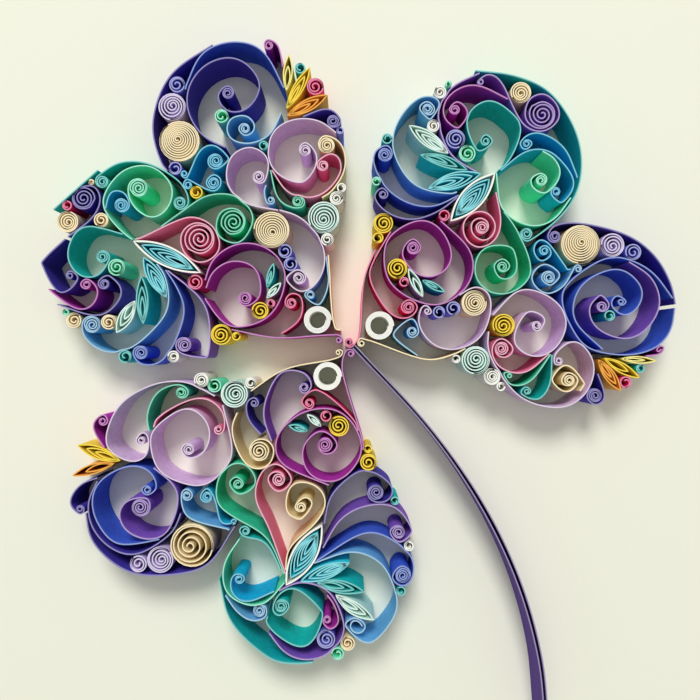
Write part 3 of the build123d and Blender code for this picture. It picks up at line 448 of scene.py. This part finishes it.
def wind_on(line, corners):
    """Carries a curl at the line's end on inwards, turn after turn, to its eye."""
    turn = corners[-TURN_CORNERS:]
    if len(turn) < TURN_CORNERS:
        return line
    first, second = np.diff(turn, axis=0)[-2:]
    sense = np.sign(first[0] * second[1] - first[1] * second[0])
    centre = circle_centre(turn)
    start = line[-1] - centre
    radius = lengths(start)
    if radius > LARGEST_CURL or not turns_inward(turn, sense):
        return line
    if (lengths(corners[:-TURN_CORNERS] - centre) < CURL_ROOM * radius).any():
        return line
    pitch = min(max(CURL_PITCH, PITCH_SHARE * radius), LOOSE_PITCH)
    turns = (radius - EYE_RADIUS) / pitch
    if turns < LEAST_TURN:
        return line
    count = math.ceil(turns * TURN_STEPS)
    part = np.arange(1, count + 1) / count
    angle = math.atan2(start[1], start[0]) + sense * 2 * math.pi * turns * part
    curl = around(centre, radius + (EYE_RADIUS - radius) * part, angle)
    return np.vstack([line, curl])


# Easing smooth lines clear of each other

def crowd_tree(points):
    """A tree that finds the points near a place."""
    tree = KDTree(len(points))
    for index, (x, y) in enumerate(points):
        tree.insert((x, y, 0), index)
    tree.balance()
    return tree


def ease_lines(chords, targets, fixed):
    """Moves every line from its chords towards its smooth curve, as far as its neighbours let it."""
    owner = np.concatenate([np.full(len(line), k) for k, line in enumerate(chords)])
    order = np.concatenate([np.arange(len(line)) for line in chords])
    places = np.vstack(chords)
    goal = np.vstack(targets)
    for _ in range(EASE_ROUNDS):
        tree = crowd_tree(np.vstack([places, fixed]))
        shift = goal - places
        far = np.maximum(lengths(shift), TINY)
        shift = shift * np.minimum(1, EASE_STRIDE / far)[:, None]
        ahead = places + shift
        for k in range(len(places)):
            for spot, index, distance in tree.find_range((ahead[k, 0], ahead[k, 1], 0), CLEAR):
                own = index < len(places) and owner[index] == owner[k]
                if own and abs(order[index] - order[k]) < OWN_REACH:
                    continue
                away = places[k] - np.array(spot[:2])
                lack = (CLEAR - distance) * EASE_SHARE
                shift[k] = away / max(lengths(away), TINY) * lack
                break
        places = places + shift
    lines = [places[owner == k] for k in range(len(chords))]
    return [calmed(line, target) for line, target in zip(lines, targets)]


def calmed(line, target):
    """Evens out how far a line was moved from its curve."""
    return target + passes(line - target, CALM_PASSES)


# Lines of coils, rings and pinched coils

def coil_rim(outline):
    """Centre and radius of a coil, fitted to the outer corners of its outline."""
    centre = (outline.min(0) + outline.max(0)) / 2
    for _ in range(RIM_ROUNDS):
        reach = lengths(outline - centre)
        rim = outline[reach > RIM_SHARE * reach.max()]
        centre = circle_centre(rim)
    return centre, lengths(rim - centre).max()


def coil_line(centre, radius, pitch, seed):
    """A closed coil from above: a full outer turn, then turns that drift to one side."""
    if radius > SPRUNG_RADIUS:
        pitch = SPRUNG_PITCH
    turns = max(FEWEST_TURNS, (radius - EYE_RADIUS) / pitch)
    wound = np.arange(0, turns, 1 / TURN_STEPS)
    part = np.clip((wound - OUTER_TURN) / (turns - OUTER_TURN), 0, 1)
    angle = seed * START_BEAT + 2 * math.pi * wound
    drift = COIL_DRIFT * radius * part * np.clip(radius / DRIFT_RADIUS, LEAST_DRIFT, 1)
    lean = np.array([math.cos(seed * LEAN_BEAT), math.sin(seed * LEAN_BEAT)])
    return around(centre, radius + (EYE_RADIUS - radius) * part, angle) + drift[:, None] * lean


def ring_line(outline, hole):
    """A ring from above, wound turn on turn from its rim to its hole, and the number of turns."""
    centre, radius = coil_rim(outline)
    inner = lengths(hole - centre).mean()
    turns = round((radius - inner) / RING_PITCH)
    wound = np.arange(turns * RING_STEPS + 1) / RING_STEPS
    reach = radius * RING_FIT - PAPER / 2 - (radius - inner - PAPER) * wound / turns
    return around(centre, reach, 2 * math.pi * wound), turns


def bowed_side(tip_a, tip_b, height):
    along = tip_b - tip_a
    off = sideways(along) / lengths(along)
    part = np.linspace(0, 1, SIDE_STEPS)[:, None]
    return tip_a + part * along + 4 * part * (1 - part) * height * off


def pinched_form(outline):
    """The outer and inner tip and the two side heights of a pinched coil, from its outline."""
    gaps = lengths(outline[:, None] - outline[None])
    a, b = np.unravel_index(gaps.argmax(), gaps.shape)
    tip_a, tip_b = outline[a], outline[b]
    if lengths(tip_a) < lengths(tip_b):
        tip_a, tip_b = tip_b, tip_a
    along = tip_b - tip_a
    span = lengths(along)
    part = (outline - tip_a) @ along / span ** 2
    off = (outline - tip_a) @ sideways(along) / span
    belly = (part > BELLY[0]) & (part < BELLY[1])
    height = off[belly] / (4 * part[belly] * (1 - part[belly]))
    return tip_a, tip_b, height.max(), height.min()


def pinched_lines(tip_a, tip_b, left, right, pitch):
    """Nested pinched turns that gather at the inner tip, like the teeth of a comb."""
    length = lengths(tip_b - tip_a)
    along = (tip_b - tip_a) / length
    count = max(FEWEST_PINCHED, int((left - right) / 2 / pitch))
    for k in range(count):
        part = k / count
        a = tip_a + along * (TIP_GAP + OUTER_GATHER * length * part)
        b = tip_b - along * (TIP_GAP + INNER_GATHER * length * part)
        shrink = PAPER / 2 + k * pitch
        upper = bowed_side(a, b, left - shrink)
        lower = bowed_side(a, b, right + shrink)
        yield np.vstack([upper, lower[-2:0:-1]])


# The pieces

class Sheaf:
    """The strips of paper that make up one piece, as one mesh."""

    def __init__(self):
        self.points = []
        self.faces = []

    def ribbon(self, line, closed=False, thickness=PAPER, seed=0.0):
        """A strip of paper on edge along a line."""
        if closed:
            along = np.roll(line, -1, axis=0) - np.roll(line, 1, axis=0)
        else:
            along = np.gradient(line, axis=0)
        along = along / np.maximum(lengths(along), TINY)[:, None]
        across = sideways(along) * thickness / 2
        top = STRIP_HEIGHT - HEIGHT_SPREAD * (1 + math.sin(seed * HEIGHT_BEAT)) / 2
        first = len(self.points)
        for (lx, ly), (rx, ry) in zip(line + across, line - across):
            self.points += [(lx, ly, 0), (lx, ly, top), (rx, ry, top), (rx, ry, 0)]
        count = len(line)
        spans = count if closed else count - 1
        for k in range(spans):
            a = first + 4 * k
            b = first + 4 * ((k + 1) % count)
            for i in range(4):
                j = (i + 1) % 4
                self.faces.append((a + j, a + i, b + i, b + j))
        if not closed:
            last = first + 4 * (count - 1)
            self.faces.append((first, first + 1, first + 2, first + 3))
            self.faces.append((last + 3, last + 2, last + 1, last))

    def piece(self, name, node, colour):
        mesh = bpy.data.meshes.new(name)
        mesh.from_pydata(self.points, [], self.faces)
        mesh.materials.append(papers[colour])
        mesh.update()
        mesh.shade_smooth()
        mesh.set_sharp_from_angle(angle=SHARP_EDGE)
        made = bpy.data.objects.new(name, mesh)
        bpy.context.scene.collection.objects.link(made)
        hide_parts(node)
        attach(made, ROOT)


def colour_word(node):
    """The paper colour in a node's name."""
    for leaf in ("left_leaf_", "right_leaf_", "bottom_leaf_"):
        node = node.replace(leaf, "")
    return "stem" if "stem" in node else node.rsplit("_", 1)[0]


def is_strips(node):
    return node.endswith("_scrolls") or node.endswith("_strip")


def coil_fences():
    """Points just inside the rims of all coils and rings, which the strips keep clear of."""
    fences = []
    for name in outlines:
        if not is_strips(name):
            for outline, _ in outlines[name]:
                rim = np.vstack([outline, outline[:1]])
                centre = outline.mean(0)
                fences.append(stepped(centre + (rim - centre) * COIL_FIT, STEP / 2))
    return np.vstack(fences)


def lay_strips():
    """Smooth lines for all scrolls and stem strips, clear of each other and of every coil."""
    owners = []
    chords = []
    targets = []
    for name in sorted(filter(is_strips, outlines)):
        for outline, _ in outlines[name]:
            corners = middle_line(outline)
            target = rounded(stepped(smooth(corners), STEP), corners)
            owners.append((name, corners))
            targets.append(target)
            chords.append(spaced(corners, len(target)))
    lines = ease_lines(chords, targets, coil_fences())
    for (name, corners), line in zip(owners, lines):
        line = wind_on(line, corners)
        line = wind_on(line[::-1], corners[::-1])
        yield name, line


def make_strips():
    sheaves = {}
    for number, (name, line) in enumerate(lay_strips()):
        sheaves.setdefault(name, Sheaf()).ribbon(line, seed=number)
    for name, sheaf in sheaves.items():
        sheaf.piece(f"{name}_paper_strips", name, colour_word(name))


def make_coils():
    """Closed coils. The large mint ones are of a paler paper."""
    for name in sorted(n for n in outlines if n.endswith("_coils")):
        sheaves = {}
        pitch = CLOSE_PITCHES.get(name, COIL_PITCH)
        for number, (outline, _) in enumerate(outlines[name]):
            centre, radius = coil_rim(outline)
            seed = number + len(name)
            line = coil_line(centre, COIL_FIT * radius - PAPER / 2, pitch, seed)
            colour = colour_word(name)
            if colour == "mint" and radius > LARGE_MINT:
                colour = "pale"
            sheaves.setdefault(colour, Sheaf()).ribbon(line, seed=seed)
        for colour, sheaf in sheaves.items():
            sheaf.piece(f"{colour}_coils_wound", name, colour)


def make_rings():
    sheaf = Sheaf()
    for outline, holes in outlines["white_rings"]:
        line, turns = ring_line(outline, holes[0])
        sheaf.ribbon(line, thickness=RING_PAPER, seed=turns)
    sheaf.piece("white_rings_wound", "white_rings", "white")


def make_pinched():
    for name in sorted(n for n in outlines if n.endswith("_marquises")):
        sheaf = Sheaf()
        for number, (outline, _) in enumerate(outlines[name]):
            for line in pinched_lines(*pinched_form(outline), PINCH_PITCH):
                sheaf.ribbon(line, closed=True, seed=number)
        sheaf.piece(f"{name}_pinched", name, colour_word(name))


def make_borders():
    """White borders round pinched coils, each a single turn."""
    sheaf = Sheaf()
    for outline, _ in outlines["white_borders"]:
        line = next(pinched_lines(*pinched_form(outline), BORDER_PITCH))
        sheaf.ribbon(line, closed=True, thickness=BORDER_PAPER)
    sheaf.piece("white_borders_pinched", "white_borders", "white")


def dress_solids():
    for name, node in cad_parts.items():
        node.data.materials.clear()
        node.data.materials.append(papers[colour_word(name)])


# View, light and ground

def make_ground():
    half = FLOOR_SIZE / 2
    corners = [(-half, -half), (half, -half), (half, half), (-half, half)]
    mesh = bpy.data.meshes.new("ground")
    mesh.from_pydata([(x, y, -FLOOR_DROP) for x, y in corners], [], [(0, 1, 2, 3)])
    mesh.materials.append(floor_material())
    ground = bpy.data.objects.new("ground", mesh)
    bpy.context.scene.collection.objects.link(ground)


def make_camera():
    camera = bpy.data.cameras.new("photo_view")
    camera.lens = CAMERA_LENS
    camera.sensor_width = CAMERA_SENSOR
    camera.clip_start = NEAR_CLIP
    stand = bpy.data.objects.new("photo_view", camera)
    stand.location = (*PHOTO_MIDDLE, CAMERA_HEIGHT)
    bpy.context.scene.collection.objects.link(stand)
    bpy.context.scene.camera = stand


def make_lamp(name, place, size, power):
    """A round soft lamp that shines at the origin."""
    light = bpy.data.lights.new(name, "AREA")
    light.shape = "DISK"
    light.size = size
    light.energy = power
    lamp = bpy.data.objects.new(name, light)
    lamp.location = place
    lamp.rotation_euler = Vector(place).to_track_quat("Z", "Y").to_euler()
    bpy.context.scene.collection.objects.link(lamp)


def make_light():
    make_lamp("window", WINDOW_PLACE, WINDOW_SIZE, WINDOW_POWER)
    make_lamp("sky", SKY_PLACE, SKY_SIZE, SKY_POWER)
    world = bpy.data.worlds.new("room")
    world.use_nodes = True
    background = world.node_tree.nodes["Background"]
    background.inputs["Color"].default_value = (1, 1, 1, 1)
    background.inputs["Strength"].default_value = ROOM_LIGHT
    bpy.context.scene.world = world
    bpy.context.scene.view_settings.view_transform = "Standard"


papers = {name: paper_material(name, colour) for name, colour in PAPER_COLOURS.items()}
outlines = {name: top_outlines(node) for name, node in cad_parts.items()}

make_camera()
make_light()
make_ground()
dress_solids()
make_strips()
make_coils()
make_rings()
make_pinched()
make_borders()

bpy.context.view_layer.update()
